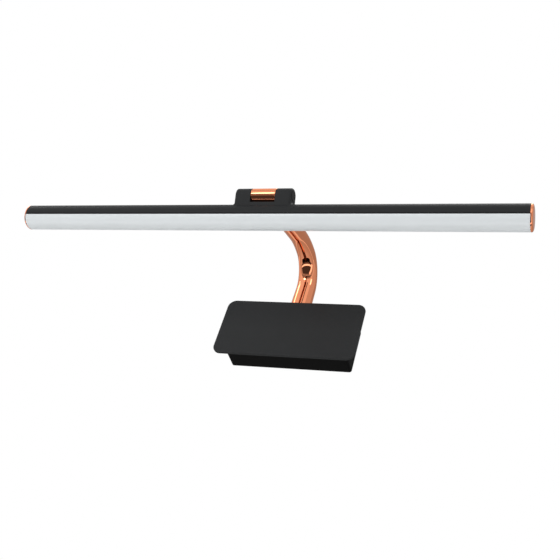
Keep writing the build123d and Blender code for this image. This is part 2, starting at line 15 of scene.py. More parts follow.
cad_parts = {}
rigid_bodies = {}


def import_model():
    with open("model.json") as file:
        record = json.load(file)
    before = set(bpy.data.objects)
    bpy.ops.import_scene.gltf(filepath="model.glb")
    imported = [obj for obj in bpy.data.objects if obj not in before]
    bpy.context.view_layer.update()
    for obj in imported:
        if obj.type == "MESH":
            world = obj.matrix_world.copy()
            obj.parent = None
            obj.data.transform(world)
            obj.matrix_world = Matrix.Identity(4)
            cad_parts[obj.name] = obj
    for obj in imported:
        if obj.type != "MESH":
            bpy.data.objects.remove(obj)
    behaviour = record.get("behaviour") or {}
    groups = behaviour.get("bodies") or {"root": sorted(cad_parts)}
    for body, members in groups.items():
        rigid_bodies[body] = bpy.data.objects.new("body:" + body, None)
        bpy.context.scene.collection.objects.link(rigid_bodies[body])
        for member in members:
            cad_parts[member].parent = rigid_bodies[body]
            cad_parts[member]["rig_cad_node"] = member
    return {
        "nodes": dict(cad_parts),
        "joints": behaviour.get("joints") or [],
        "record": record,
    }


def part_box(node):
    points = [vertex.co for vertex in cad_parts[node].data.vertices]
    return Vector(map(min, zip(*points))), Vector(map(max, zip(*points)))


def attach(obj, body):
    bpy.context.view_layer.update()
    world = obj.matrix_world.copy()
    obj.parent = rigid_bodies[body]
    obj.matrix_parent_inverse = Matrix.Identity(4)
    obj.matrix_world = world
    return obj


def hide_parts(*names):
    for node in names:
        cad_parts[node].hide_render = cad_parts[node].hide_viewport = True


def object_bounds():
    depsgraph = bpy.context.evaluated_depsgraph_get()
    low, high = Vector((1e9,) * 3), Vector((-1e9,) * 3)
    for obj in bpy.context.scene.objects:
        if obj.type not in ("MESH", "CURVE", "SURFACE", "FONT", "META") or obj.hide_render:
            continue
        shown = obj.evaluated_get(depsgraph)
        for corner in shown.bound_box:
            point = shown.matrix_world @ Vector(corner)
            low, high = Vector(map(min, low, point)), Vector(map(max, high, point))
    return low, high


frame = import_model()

CAD_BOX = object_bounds()
MM = 0.001
WELD = 0.002 * MM
LOG = logging.getLogger("picture_light")


# ---- nodes and colours
def linear(hex_colour: str) -> tuple[float, float, float, float]:
    """Turn an sRGB hex colour into linear light.

    Args:
        hex_colour: Colour as "#rrggbb".

    Returns:
        Red, green, blue and full alpha.
    """
    channels = np.array([int(hex_colour[i:i + 2], 16) for i in (1, 3, 5)]) / 255
    light = np.where(channels <= 0.04045, channels / 12.92, ((channels + 0.055) / 1.055) ** 2.4)
    return (*light.tolist(), 1.0)


def add_node(tree: NodeTree, kind: str, settings: dict[str, Any] | None = None,
             inputs: dict[str | int, Any] | None = None) -> Node:
    """Add one node, set its properties, and set or link its inputs.

    Args:
        tree: Node tree to add to.
        kind: Blender's name of the node type.
        settings: Properties of the node.
        inputs: Input name or number, with a plain value or an output socket to link.

    Returns:
        The new node.
    """
    node = tree.nodes.new(kind)
    for name, value in (settings or {}).items():
        setattr(node, name, value)
    for name, value in (inputs or {}).items():
        if isinstance(value, NodeSocket):
            tree.links.new(value, node.inputs[name])
        else:
            node.inputs[name].default_value = value
    return node


def empty_tree(owner: Material | World) -> NodeTree:
    """Turn on the nodes of a material or world, and clear them.

    Args:
        owner: Material or world.

    Returns:
        Its empty node tree.
    """
    owner.use_nodes = True
    owner.node_tree.nodes.clear()
    return owner.node_tree


# ---- finishes
@dataclass(frozen=True)
class Finish:
    """A finish: a colour that drifts slowly into a second one, a grain and a sheen.

    Sizes are real ones in millimetres: drift_size is the width of the colour's soft patches,
    grain_size the spacing of the surface's bumps and grain_depth their height.
    """

    name: str
    colour: str
    drift_colour: str
    roughness: float
    roughness_spread: float = 0.04
    metallic: float = 0.0
    ior: float = 1.5
    specular: float = 0.5
    drift_size: float = 18.0
    grain_size: float = 1.0
    grain_depth: float = 0.006

    def grain(self, tree: NodeTree, place: NodeSocket) -> NodeSocket:
        """Height of the surface's fine texture.

        Args:
            tree: Node tree to add to.
            place: Coordinates to read.

        Returns:
            Socket that gives the height, from 0 to 1.
        """
        noise = add_node(tree, "ShaderNodeTexNoise", inputs={
            "Vector": place, "Scale": 1 / (self.grain_size * MM), "Detail": 2.0})
        return noise.outputs["Fac"]

    def tint(self, tree: NodeTree, place: NodeSocket,
             drift: NodeSocket) -> NodeSocket:
        """Colour of the surface.

        Args:
            tree: Node tree to add to.
            place: Coordinates to read.
            drift: Slow noise, from 0 to 1.

        Returns:
            Socket that gives the colour.
        """
        mix = add_node(tree, "ShaderNodeMix", {"data_type": "RGBA"}, {
            "Factor": drift, "A": linear(self.colour), "B": linear(self.drift_colour)})
        return mix.outputs["Result"]

    def extras(self, shader: Node) -> None:
        """Set what only this kind of finish has, on the shader's own sockets."""

    def material(self) -> Material:
        """Return the finish as a material, made once and then shared."""
        known = bpy.data.materials.get(self.name)
        if known is not None:
            return known
        made = bpy.data.materials.new(self.name)
        tree = empty_tree(made)
        place = add_node(tree, "ShaderNodeTexCoord").outputs["Object"]
        drift = add_node(tree, "ShaderNodeTexNoise", inputs={
            "Vector": place, "Scale": 1 / (self.drift_size * MM), "Detail": 3.0}).outputs["Fac"]
        rough = add_node(tree, "ShaderNodeMapRange", inputs={
            "Value": drift, "From Min": 0.3, "From Max": 0.7,
            "To Min": self.roughness - self.roughness_spread,
            "To Max": self.roughness + self.roughness_spread})
        bump = add_node(tree, "ShaderNodeBump", inputs={
            "Height": self.grain(tree, place), "Distance": self.grain_depth * MM, "Strength": 1.0})
        shader = add_node(tree, "ShaderNodeBsdfPrincipled", inputs={
            "Base Color": self.tint(tree, place, drift), "Roughness": rough.outputs["Result"],
            "Normal": bump.outputs["Normal"], "Metallic": self.metallic, "IOR": self.ior,
            "Specular IOR Level": self.specular})
        self.extras(shader)
        add_node(tree, "ShaderNodeOutputMaterial", inputs={"Surface": shader.outputs["BSDF"]})
        return made


@dataclass(frozen=True)
class DrawnFinish(Finish):
    """A finish whose grain is drawn out along X, as an extrusion die leaves it."""

    stretch: float = 60.0

    def grain(self, tree: NodeTree, place: NodeSocket) -> NodeSocket:
        """Height of fine lines along X.

        Args:
            tree: Node tree to add to.
            place: Coordinates to read.

        Returns:
            Socket that gives the height, from 0 to 1.
        """
        squeezed = add_node(tree, "ShaderNodeMapping", inputs={
            "Vector": place, "Scale": (1 / self.stretch, 1.0, 1.0)})
        return super().grain(tree, squeezed.outputs["Vector"])


@dataclass(frozen=True)
class OpalFinish(DrawnFinish):
    """Milky plastic: light enters it, spreads a couple of millimetres and comes out again."""

    depth: float = 2.0
    milkiness: float = 0.3

    def extras(self, shader: Node) -> None:
        """Set the milkiness and how far light spreads."""
        shader.inputs["Subsurface Weight"].default_value = self.milkiness
        shader.inputs["Subsurface Radius"].default_value = (1.0, 1.0, 1.0)
        shader.inputs["Subsurface Scale"].default_value = self.depth * MM


@dataclass(frozen=True)
class PlatedFinish(Finish):
    """Bright plating: a long shallow waviness of the polished tube, which bends what it mirrors."""

    rim_colour: str = "#ffffff"

    def extras(self, shader: Node) -> None:
        """Set the paler colour that the metal takes at a glancing angle."""
        shader.inputs["Specular Tint"].default_value = linear(self.rim_colour)


@dataclass(frozen=True)
class PhosphorFinish(Finish):
    """Chip face: a yellow field in a white frame, repeated at the chips' pitch along X."""

    pitch: float = 10.0
    field: float = 2.4
    frame_colour: str = "#eeeeea"

    def tint(self, tree: NodeTree, place: NodeSocket,
             drift: NodeSocket) -> NodeSocket:
        """Yellow where the distance from the nearest chip's middle is under half the field, else white.

        Args:
            tree: Node tree to add to.
            place: Coordinates to read.
            drift: Slow noise, from 0 to 1.

        Returns:
            Socket that gives the colour.
        """
        along = add_node(tree, "ShaderNodeSeparateXYZ", inputs={"Vector": place}).outputs["X"]
        folded = add_node(tree, "ShaderNodeMath", {"operation": "PINGPONG"}, {
            0: along, 1: self.pitch * MM / 2})
        framed = add_node(tree, "ShaderNodeMapRange", inputs={
            "Value": folded.outputs["Value"], "From Min": (self.pitch - self.field) / 2 * MM,
            "From Max": (self.pitch - self.field + 0.2) / 2 * MM})
        yellow = super().tint(tree, place, drift)
        mix = add_node(tree, "ShaderNodeMix", {"data_type": "RGBA"}, {
            "Factor": framed.outputs["Result"], "A": linear(self.frame_colour), "B": yellow})
        return mix.outputs["Result"]


class Slot(Enum):
    """Material slots of the record, by their record names."""

    BLACK = "satin_black"
    BLACK_ALUMINIUM = "coated_aluminium"
    COPPER = "copper_plate"
    OPAL = "opal_plastic"
    ZINC = "zinc_steel"
    BLACK_SCREW = "black_screw"
    BRASS = "bright_brass"
    WHITE_CASE = "white_case"
    NYLON = "clear_nylon"
    RUBBER = "black_rubber"
    BLACK_CAP = "black_cap"
    BOARD = "board_mask"
    CHIP = "chip_phosphor"
    LEAD = "lead_sheath"
    FIBRE = "fibre_washer"


# Each finish is named for the real material and how its surface was made, and for painted shade where it has
# some.
FINISHES: dict[Slot, Finish] = {
    # Powder coat baked on steel: charcoal black, an even satin with a faint orange peel.
    Slot.BLACK: Finish("powder_coated_steel", "#272829", "#2a2b2c", 0.46, 0.01, specular=0.12,
                       grain_size=1.4, grain_depth=0.006, drift_size=30.0),
    # The same coat on the extruded and cast aluminium of the lamp head.
    Slot.BLACK_ALUMINIUM: Finish("powder_coated_aluminium", "#2a2b2c", "#2e2f30", 0.50, 0.01, specular=0.06,
                                 grain_size=1.4, grain_depth=0.005, drift_size=40.0),
    # Copper plated on a polished steel tube: a warm mirror with a slow waviness.
    Slot.COPPER: PlatedFinish("polished_copper_plate", "#f39d76", "#ee946a", 0.06, 0.015, metallic=1.0,
                              drift_size=12.0, grain_size=11.0, grain_depth=0.010,
                              rim_colour="#ffe9dc"),
    # Extruded polycarbonate: milky white, soft gloss, hair lines along its length.
    Slot.OPAL: OpalFinish("opal_extruded_polycarbonate", "#e4e9ec", "#e0e5e8", 0.32, ior=1.58,
                          grain_size=0.7, grain_depth=0.002, drift_size=60.0),
    # Zinc on turned or pressed steel: pale, slightly blue, cloudy.
    Slot.ZINC: Finish("bright_zinc_plate", "#bfc3c8", "#a9adb4", 0.30, 0.08, metallic=1.0,
                      drift_size=5.0, grain_size=0.5, grain_depth=0.003),
    # Black zinc on steel screws: a dull black metal.
    Slot.BLACK_SCREW: Finish("black_zinc_plate", "#1b1b1c", "#242426", 0.38, 0.06, metallic=0.8,
                             drift_size=3.0, grain_size=0.4, grain_depth=0.003),
    # Turned brass: yellow metal with tool marks.
    Slot.BRASS: Finish("turned_brass", "#d9b566", "#cda758", 0.24, 0.05, metallic=1.0,
                       drift_size=5.0, grain_size=0.3, grain_depth=0.003),
    # Moulded polycarbonate case: white, finely spark-textured.
    Slot.WHITE_CASE: Finish("moulded_white_polycarbonate", "#e7e7e3", "#dfdfda", 0.48, ior=1.58,
                            drift_size=25.0, grain_size=0.6, grain_depth=0.010),
    # Natural nylon: cloudy, waxy off-white.
    Slot.NYLON: OpalFinish("moulded_natural_nylon", "#dcdcd0", "#d2d3c6", 0.36, ior=1.53,
                           drift_size=6.0, grain_size=0.8, grain_depth=0.004, depth=1.5, milkiness=0.5),
    # Moulded rubber: dull black with a slight bloom.
    Slot.RUBBER: Finish("moulded_rubber", "#141414", "#1d1d1d", 0.72, ior=1.52, specular=0.35,
                        drift_size=6.0, grain_size=0.7, grain_depth=0.012),
    # Moulded polyamide caps: black, a touch glossier than the coat around them, and painted darker still as
    # painted shade of the ears' shaded end faces.
    Slot.BLACK_CAP: Finish("black_polyamide_painted_shade", "#0b0b0c", "#0e0e0f", 0.42, ior=1.53, specular=0.1,
                           drift_size=8.0, grain_size=0.6, grain_depth=0.004),
    # White solder mask on an aluminium board.
    Slot.BOARD: Finish("white_solder_mask", "#ebebe6", "#e4e4de", 0.34, ior=1.55,
                       drift_size=20.0, grain_size=0.8, grain_depth=0.003),
    # Silicone with phosphor in a white chip frame.
    Slot.CHIP: PhosphorFinish("phosphor_silicone", "#e9cf62", "#dfc04e", 0.40, ior=1.42,
                              drift_size=4.0, grain_size=0.3, grain_depth=0.004),
    # Extruded PVC sheath of the leads.
    Slot.LEAD: DrawnFinish("extruded_pvc_sheath", "#e3e3df", "#dadad5", 0.40, ior=1.53,
                           drift_size=10.0, grain_size=0.5, grain_depth=0.003),
    # Pressed vulcanised fibre: brown, short mottled fibres.
    Slot.FIBRE: Finish("pressed_fibre", "#6b4a33", "#4d3524", 0.66, 0.06,
                       drift_size=1.6, grain_size=0.4, grain_depth=0.010),
}

# The tray's coat: the same black powder coat, matt, painted near black as painted shade of its unlit sides
# and underside.
SHADED_TRAY_FINISH = Finish("painted_shade_black_steel", "#040404", "#070707", 0.6, 0.02, specular=0.05,
                     grain_size=1.2, grain_depth=0.006, drift_size=25.0)
# Background paper: matt and almost white, with a slow unevenness.
FLOOR_FINISH = Finish("matt_floor_paper", "#fafaf9", "#f6f6f5", 0.9, specular=0.1,
                      grain_size=6.0, grain_depth=0.05, drift_size=900.0)


# ---- surfaces
@dataclass(frozen=True)
class Shell:
    """A surface as a grid of points: rows along it, columns around it, the last joined to the first.

    loop_rows joins the last row to the first too, and capped closes both end rows with a flat face.
    """

    points: np.ndarray
    loop_rows: bool = False
    capped: bool = False

    def faces(self, start: int) -> list[list[int]]:
        """Corner numbers of the grid's faces: each cell joins two rows and two columns.

        Args:
            start: Number of the shell's first point in the whole mesh.

        Returns:
            Faces as lists of point numbers.
        """
        rows, columns = self.points.shape[:2]
        numbers = start + np.arange(rows * columns).reshape(rows, columns)
        grid = np.vstack([numbers, numbers[:1]]) if self.loop_rows else numbers
        grid = np.hstack([grid, grid[:, :1]])
        cells = np.stack([grid[:-1, :-1], grid[1:, :-1], grid[1:, 1:], grid[:-1, 1:]], axis=-1)
        found = cells.reshape(-1, 4).tolist()
        if self.capped:
            found += [numbers[0, ::-1].tolist(), numbers[-1].tolist()]
        return found


def rounded(corners: list[tuple[float, float, float]], steps: int = 6) -> np.ndarray:
    """Closed or open outline whose corners are rounded by circular arcs.

    Each corner's arc touches both its sides at radius / tan(half the angle between them); its
    points come from a circle of that radius, whose centre lies on the corner's bisector.

    Args:
        corners: Across, up and radius of each corner, in order. Radius 0 keeps the corner.
        steps: Points along each arc.

    Returns:
        Outline's points, two numbers each.
    """
    places = np.array([corner[:2] for corner in corners], float)
    parts = []
    for index, (_, _, radius) in enumerate(corners):
        here = places[index]
        if radius == 0:
            parts.append(here[None])
            continue
        before = places[index - 1] - here
        after = places[(index + 1) % len(corners)] - here
        before, after = before / np.linalg.norm(before), after / np.linalg.norm(after)
        half = math.acos(float(np.clip(before @ after, -1, 1))) / 2
        bisector = (before + after) / np.linalg.norm(before + after)
        centre = here + bisector * radius / math.sin(half)
        first = here + before * radius / math.tan(half) - centre
        last = here + after * radius / math.tan(half) - centre
        sweep = math.pi - 2 * half
        share = np.linspace(0, 1, steps)[:, None]
        arc = (np.sin((1 - share) * sweep) * first + np.sin(share * sweep) * last) / math.sin(sweep)
        parts.append(centre + arc)
    return np.vstack(parts)


def lathe(profile: np.ndarray, origin: np.ndarray, axis: tuple[float, float, float], columns: int,
          loop: bool = False) -> Shell:
    """Surface of revolution: each profile point's circle about the axis.

    A point at distance a along the axis and r from it goes to
    origin + a * axis + r * (cos angle * side + sin angle * other side).

    Args:
        profile: Along and radius of each point.
        origin: Point on the axis.
        axis: Unit direction of the axis, which is level.
        columns: Points around.
        loop: True if the profile closes on itself, as a ring's does.

    Returns:
        The turned surface.
    """
    straight = np.array(axis, float)
    side = np.cross(straight, (0.0, 0.0, 1.0))
    other = np.cross(straight, side)
    angle = np.linspace(0, 2 * math.pi, columns, endpoint=False)[None, :, None]
    along, radius = profile[:, None, 0:1], profile[:, None, 1:2]
    outward = np.cos(angle) * side + np.sin(angle) * other
    return Shell(origin + along * straight + radius * outward, loop_rows=loop)


def link_object(name: str, data: ID) -> Object:
    """Make an object and link it to the scene.

    Args:
        name: Name of the object.
        data: Its mesh, light or camera.

    Returns:
        The new object.
    """
    made = bpy.data.objects.new(name, data)
    bpy.context.scene.collection.objects.link(made)
    return made


def plane(name: str, width: float, height: float, level: float = 0.0) -> Object:
    """Make a flat rectangle about the Z axis.

    Args:
        name: Name of the object.
        width: Size along X.
        height: Size along Y.
        level: Place along Z.

    Returns:
        The new object.
    """
    mesh = bpy.data.meshes.new(name)
    corners = [(x * width / 2, y * height / 2, level) for x, y in ((-1, -1), (1, -1), (1, 1), (-1, 1))]
    mesh.from_pydata(corners, [], [(0, 1, 2, 3)])
    return link_object(name, mesh)


def make_piece(name: str, shells: list[Shell], sharp_degrees: float = 35.0) -> Object:
    """Turn shells into one mesh object at the origin.

    Args:
        name: Name of the piece.
        shells: Its surfaces, in the row frame.
        sharp_degrees: Edges that turn more than this stay crisp.

    Returns:
        The new object.
    """
    points, faces = [], []
    for shell in shells:
        faces += shell.faces(sum(len(part) for part in points))
        points.append(shell.points.reshape(-1, 3))
    mesh = bpy.data.meshes.new(name)
    mesh.from_pydata(np.vstack(points).tolist(), [], faces)
    return finish_mesh(name, mesh, sharp_degrees)


def finish_mesh(name: str, mesh: Mesh, sharp_degrees: float = 35.0,
                flat_degrees: float = 0.0) -> Object:
    """Merge a mesh's doubles and poles, turn its faces outwards, shade it smooth and link it.

    Args:
        name: Name of the piece.
        mesh: Mesh in the row frame.
        sharp_degrees: Edges that turn more than this stay crisp.
        flat_degrees: Edges that turn less than this are dissolved.

    Returns:
        The new object.
    """
    shape = bmesh.new()
    shape.from_mesh(mesh)
    bmesh.ops.remove_doubles(shape, verts=shape.verts, dist=WELD)
    if flat_degrees:
        flat = math.radians(flat_degrees)
        bmesh.ops.dissolve_limit(shape, verts=shape.verts, edges=shape.edges, angle_limit=flat)
    bmesh.ops.recalc_face_normals(shape, faces=shape.faces)
    shape.to_mesh(mesh)
    shape.free()
    mesh.polygons.foreach_set("use_smooth", np.ones(len(mesh.polygons), bool))
    mesh.set_sharp_from_angle(angle=math.radians(sharp_degrees))
    return link_object(name, mesh)


def dress(piece: Object, finish: Finish) -> None:
    """Give a piece one finish on its whole surface."""
    piece.data.materials.clear()
    piece.data.materials.append(finish.material())


def stand_in(piece: Object, body: str, slot: Slot, *nodes: str,
             finish: Finish | None = None) -> Object:
    """Dress a new piece and let it stand for CAD nodes.

    Args:
        piece: The new piece.
        body: CAD body that it moves with.
        slot: Its material slot.
        nodes: CAD nodes that it stands for.
        finish: Its finish, where it isn't the slot's usual one.

    Returns:
        The piece.
    """
    dress(piece, finish or FINISHES[slot])
    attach(piece, body)
    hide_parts(*nodes)
    return piece


# ---- places read from the frame
class Body(Enum):
    """Bodies of the frame, by their record names."""

    WALL = "wall_unit"
    LAMP = "lamp_head"


@dataclass(frozen=True)
class LampFrame:
    """Axes of the lamp head: along the bar, back towards the wall, and up to the hinge."""

    axis: np.ndarray
    hinge: np.ndarray
    radius: float

    @classmethod
    def read(cls) -> "LampFrame":
        """Read the bar's axis, radius and hinge from the frame."""
        low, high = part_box("right_end_cap")
        middle = (low + high) / 2
        hinge = np.array(frame["joints"][0]["pos_m"], float)
        return cls(np.array((0.0, middle.y, middle.z)), hinge, (high.z - low.z) / 2)

    @property
    def drop(self) -> float:
        """Distance from the hinge to the bar's axis."""
        return float(np.linalg.norm(self.hinge - self.axis))

    @property
    def up(self) -> np.ndarray:
        """Unit direction from the bar's axis to the hinge."""
        return (self.hinge - self.axis) / self.drop

    @property
    def back(self) -> np.ndarray:
        """Unit direction across the bar, towards the wall."""
        return np.cross(self.up, (1.0, 0.0, 0.0))

    def place(self, back: np.ndarray, up: np.ndarray, along: np.ndarray) -> np.ndarray:
        """Row-frame points from distances in the lamp's own axes.

        Args:
            back: Distances towards the wall.
            up: Distances towards the hinge.
            along: Distances along the bar.

        Returns:
            Points, three numbers each.
        """
        back, up, along = np.broadcast_arrays(back, up, along)
        return (self.axis + back[..., None] * self.back + up[..., None] * self.up
                + along[..., None] * np.array((1.0, 0.0, 0.0)))

    def carry(self, outline: np.ndarray, stations: np.ndarray) -> Shell:
        """Carry a section along the bar.

        Args:
            outline: Back and up of the section's points.
            stations: Places along the bar.

        Returns:
            Closed surface with flat ends.
        """
        return Shell(self.place(outline[None, :, 0], outline[None, :, 1], stations[:, None]), capped=True)


# ---- wall box
@dataclass
class WallBox:
    """Steel tray against the wall, its front plate, and the two screws in its top."""

    plate_corner: float = 9.0 * MM
    plate_edge: float = 0.7 * MM
    plate_back_edge: float = 0.3 * MM
    plate_margin: float = 1.0 * MM
    corner_points: int = 20
    tray_edge: float = 0.35 * MM
    screw_head: float = 2.75 * MM
    screw_rise: float = 1.8 * MM
    screw_rim: float = 0.8
    recess_half_width: float = 0.42 * MM
    recess_half_length: float = 1.55 * MM
    recess_depth: float = 0.9 * MM
    recess_slope: float = 0.12 * MM
    recess_end_slope: float = 0.5 * MM
    grommet_bore: float = 4.0 * MM
    grommet_neck: float = 6.48 * MM
    grommet_lip: float = 1.6 * MM
    grommet_edge: float = 0.5 * MM

    def plate(self) -> Object:
        """Build the front plate: rings of one rounded rectangle, from the middle of its back, round
        its eased edges, to the middle of its front. A ring is drawn in by the edge's inset, and its
        corner radius with it; the flat faces shrink evenly to the middle."""
        low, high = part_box("front_cover")
        width, height = (high.x - low.x) / 2, (high.z - low.z) / 2
        turn = np.linspace(0, math.pi / 2, 8)
        back = [(self.plate_back_edge * (1 - math.sin(t)), high.y - self.plate_back_edge * (1 - math.cos(t)))
                for t in turn]
        front = [(self.plate_edge * (1 - math.cos(t)), low.y + self.plate_edge * (1 - math.sin(t)))
                 for t in turn]
        profile = [(self.plate_back_edge + self.plate_margin, high.y), *back, *front,
                   (self.plate_edge + self.plate_margin, low.y)]
        rings = []
        for inset, y in profile:
            corners = [(x * (width - inset), z * (height - inset), self.plate_corner - inset)
                       for x, z in ((1, -1), (1, 1), (-1, 1), (-1, -1))]
            rings.append(np.insert(rounded(corners, self.corner_points), 1, y, axis=1))
        rings = [rings[0] * (0, 1, 0), *rings, rings[-1] * (0, 1, 0)]
        return make_piece("front_plate", [Shell(np.array(rings))])

    def tray(self) -> Object:
        """Copy the tray, dissolve the edges in its flat faces and ease its folded ones."""
        piece = finish_mesh("wall_tray", frame["nodes"]["base_tray"].data.copy(), flat_degrees=0.5)
        bevel = piece.modifiers.new("eased_edges", "BEVEL")
        bevel.width, bevel.segments, bevel.limit_method = self.tray_edge, 3, "ANGLE"
        bevel.angle_limit = math.radians(50)
        return piece

    def cross_head(self, top: tuple[float, float, float]) -> Shell:
        """Pan head with a cross recess, as heights over a disc.

        The dome falls off as the square of the distance from the middle and turns down at the rim;
        the recess is two crossed slots, each a product of soft steps in its width and its length.

        Args:
            top: Highest point of the head, in the row frame.

        Returns:
            Head's surface, open below where it sits on the sheet.
        """
        radius, rise, start = self.screw_head, self.screw_rise, self.screw_rim
        rim_share = start + (1 - start) * np.sin(np.linspace(0.05, 1, 14) * math.pi / 2)
        share = np.concatenate([np.linspace(0, start, 30), rim_share, [1.0]])[:, None]
        angle = np.linspace(0, 2 * math.pi, 72, endpoint=False)[None]
        across, up = radius * share * np.cos(angle), radius * share * np.sin(angle)
        rim = np.clip((share - start) / (1 - start), 0, 1)
        fall = 0.12 * share ** 2 + 0.5 * (1 - np.sqrt(np.clip(1 - rim ** 2, 0, 1)))

        def slot(width: np.ndarray, length: np.ndarray) -> np.ndarray:
            """Soft-edged slot, 1 inside and 0 outside."""
            narrow = np.clip((self.recess_half_width - np.abs(width)) / self.recess_slope, 0, 1)
            short = np.clip((self.recess_half_length - np.abs(length)) / self.recess_end_slope, 0, 1)
            return narrow * short

        recess = np.maximum(slot(across, up), slot(up, across))
        height = top[2] - fall * rise - self.recess_depth * recess
        height[-1] = top[2] - rise
        return Shell(np.stack([top[0] + across, top[1] + up, height], axis=-1))

    def screws(self) -> Object:
        """Build the heads of the two screws in the tray's top."""
        low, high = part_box("cover_screws")
        reach, middle = high.x - self.screw_head, (low.y + high.y) / 2
        heads = [self.cross_head((side * reach, middle, high.z)) for side in (-1, 1)]
        return make_piece("plate_screws", heads, 50)

    def grommet(self) -> Object:
        """Turn the rubber ring of the cable entry, with its lips rounded over."""
        low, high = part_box("inlet_grommet")
        outer, neck, bore = (high.x - low.x) / 2, self.grommet_neck, self.grommet_bore
        depth, soft = high.y - low.y, self.grommet_edge
        sheet = depth - self.grommet_lip
        profile = rounded([(0, bore, soft), (0, neck, 0.3 * MM), (sheet, neck, 0.1 * MM),
                           (sheet, outer, 0.2 * MM), (depth, outer, soft), (depth, bore, soft)])
        centre = np.array(((low.x + high.x) / 2, high.y, (low.z + high.z) / 2))
        return make_piece("entry_grommet", [lathe(profile, centre, (0.0, -1.0, 0.0), 72, loop=True)])

    def build(self) -> list[Object]:
        """Build and dress the box's outer pieces.

        Returns:
            The pieces.
        """
        body = Body.WALL.value
        return [
            stand_in(self.plate(), body, Slot.BLACK, "front_cover"),
            # The tray's finish is the black coat painted near black: painted shade of its unlit sides and
            # underside.
            stand_in(self.tray(), body, Slot.BLACK, "base_tray", finish=SHADED_TRAY_FINISH),
            stand_in(self.screws(), body, Slot.BLACK_SCREW, "cover_screws"),
            stand_in(self.grommet(), body, Slot.RUBBER, "inlet_grommet")]


# ---- arm
@dataclass
class Arm:
    """Tapered copper tube: straight up, a tight bend, an easy bend and a straight run to the hinge."""

    lamp: LampFrame
    rise: float = 36.4 * MM
    swan_radius: float = 30.4 * MM
    swan_angle: float = math.radians(90)
    brow_radius: float = 90.0 * MM
    turn: float = math.radians(113)
    run: float = 97.6 * MM
    tip_radius: float = 7.3 * MM
    wall: float = 1.5 * MM
    braze: float = 0.8 * MM
    braze_stop: float = 0.98
    crowding: float = 1.25
    barrel_edge: float = 0.6 * MM
    barrel_bore: float = 3.52 * MM
    rows: int = 420
    columns: int = 128

    @property
    def barrel_radius(self) -> float:
        """Radius of the hinge barrel."""
        low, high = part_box("hinge_barrel")
        return (high.z - low.z) / 2

    @property
    def length(self) -> float:
        """Length of the arm's centre line, from the tray's top to the hinge axis."""
        swan = self.swan_radius * self.swan_angle
        brow = self.brow_radius * (self.turn - self.swan_angle)
        return self.rise + swan + brow + self.run

    def centre_line(self, distance: np.ndarray) -> tuple[np.ndarray, np.ndarray]:
        """Place and heading on the centre line.

        The heading turns from straight up towards the room, at one rate per bend; the place adds
        the straight rise, two circular arcs and the straight run, each limited to its own stretch.

        Args:
            distance: Distances from the foot along the line.

        Returns:
            Points, and heading angles from the vertical.
        """
        swan_length = self.swan_radius * self.swan_angle
        brow_angle = self.turn - self.swan_angle
        swan = np.clip(distance - self.rise, 0, swan_length) / self.swan_radius
        past_swan = distance - self.rise - swan_length
        brow = np.clip(past_swan, 0, self.brow_radius * brow_angle) / self.brow_radius
        straight = np.clip(past_swan - self.brow_radius * brow_angle, 0, None)
        foot_low, foot_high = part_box("arm_nipple")
        foot_y, foot_z = (foot_low.y + foot_high.y) / 2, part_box("arm")[0].z
        start = self.swan_angle
        y = (foot_y - self.swan_radius * (1 - np.cos(swan))
             - self.brow_radius * (math.cos(start) - np.cos(start + brow)) - straight * math.sin(self.turn))
        z = (foot_z + np.clip(distance, 0, self.rise) + self.swan_radius * np.sin(swan)
             + self.brow_radius * (np.sin(start + brow) - math.sin(start)) + straight * math.cos(self.turn))
        return np.stack([np.zeros_like(y), y, z], axis=-1), swan + brow

    def skin(self, inset: float) -> np.ndarray:
        """Round skin of the tube, cut to the barrel.

        Column by column, the skin ends where its line meets the barrel: at the square root of
        barrel radius squared less the line's height above the axis squared. Rows crowd towards that
        end. Within the braze's reach of it, the radius grows by a quarter circle, most at the sides.

        Args:
            inset: How far inside the outer surface the skin lies.

        Returns:
            Grid of points, rows from the foot to the barrel.
        """
        base_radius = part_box("arm")[1].x
        angle = np.linspace(0, 2 * math.pi, self.columns, endpoint=False)[None]
        barrel = self.barrel_radius
        height = (self.tip_radius - inset) * np.sin(angle)
        end = self.length - np.sqrt(barrel ** 2 - height ** 2)
        share = np.linspace(0, 1, self.rows)[:, None]
        distance = (1 - (1 - share) ** self.crowding) * end
        centre, heading = self.centre_line(distance)
        radius = base_radius + (self.tip_radius - base_radius) * distance / self.length - inset
        if inset == 0:
            left = np.clip(1 - (end - distance) / self.braze, 0, 1)
            steep = np.sqrt(1 - (height / barrel) ** 2)
            radius = radius + self.braze * steep * (1 - np.sqrt(1 - self.braze_stop * left ** 2))
        across = radius * np.cos(angle)
        outward = (radius * np.sin(angle))[..., None]
        normal = np.stack([np.zeros_like(heading), np.cos(heading), np.sin(heading)], axis=-1)
        return centre + outward * normal + across[..., None] * np.array((1.0, 0.0, 0.0))

    def tube(self) -> Object:
        """Build the tube's wall: the outer skin up the arm and the inner skin back down."""
        wall = np.concatenate([self.skin(0.0), self.skin(self.wall)[::-1]])
        return make_piece("arm_tube", [Shell(wall, loop_rows=True)])

    def barrel(self) -> Object:
        """Turn the barrel across the arm's end, with softly rounded ends."""
        low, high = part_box("hinge_barrel")
        edge, bore, radius = self.barrel_edge, self.barrel_bore, self.barrel_radius
        profile = rounded([(low.x, bore, 0.1 * MM), (low.x, radius, edge), (high.x, radius, edge),
                           (high.x, bore, 0.1 * MM)], 10)
        return make_piece("barrel", [lathe(profile, self.lamp.hinge, (1.0, 0.0, 0.0), 160, loop=True)])

    def build(self) -> list[Object]:
        """Build and dress the arm and its barrel.

        Returns:
            The pieces.
        """
        body = Body.WALL.value
        return [stand_in(self.tube(), body, Slot.COPPER, "arm"),
                stand_in(self.barrel(), body, Slot.COPPER, "hinge_barrel")]


